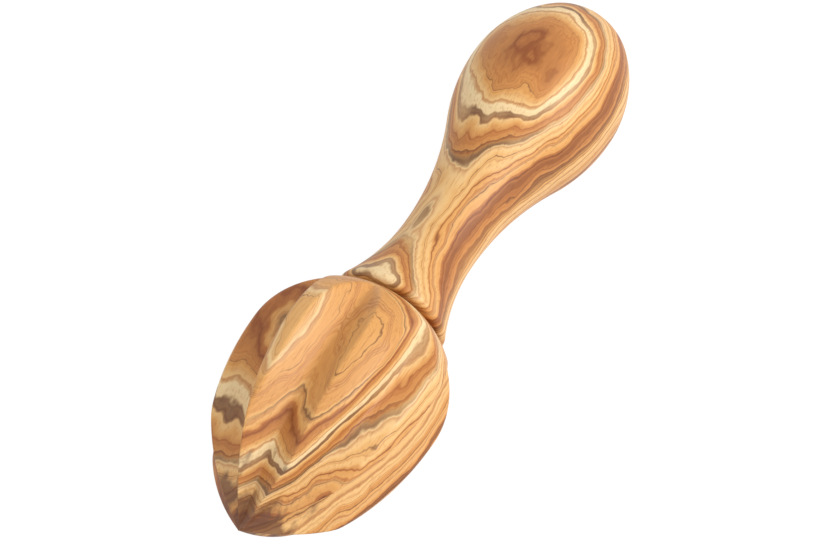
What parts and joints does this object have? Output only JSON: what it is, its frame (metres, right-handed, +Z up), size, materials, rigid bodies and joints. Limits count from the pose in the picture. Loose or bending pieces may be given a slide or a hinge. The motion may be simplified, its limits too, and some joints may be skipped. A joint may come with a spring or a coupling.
{
  "type": "wooden citrus reamer",
  "caption": "Hand citrus reamer in turned wood: a fluted pointed head glued by a tenon onto a waisted handle with a round knob, lying at rest.",
  "frame": {"origin": "on the table, under the middle of the reamer's length", "axes": "+X along the reamer from the tip of the head to the knob, +Z up from the table that it lies on"},
  "size_m": [0.1498, 0.0446, 0.0445],
  "materials": {
    "head_wood": "oiled satin, strongly figured",
    "handle_wood": "oiled satin, strongly figured"
  },
  "bodies": {
    "root": {"reaming_head": "head_wood", "handle": "handle_wood"}
  },
  "joints": []
}
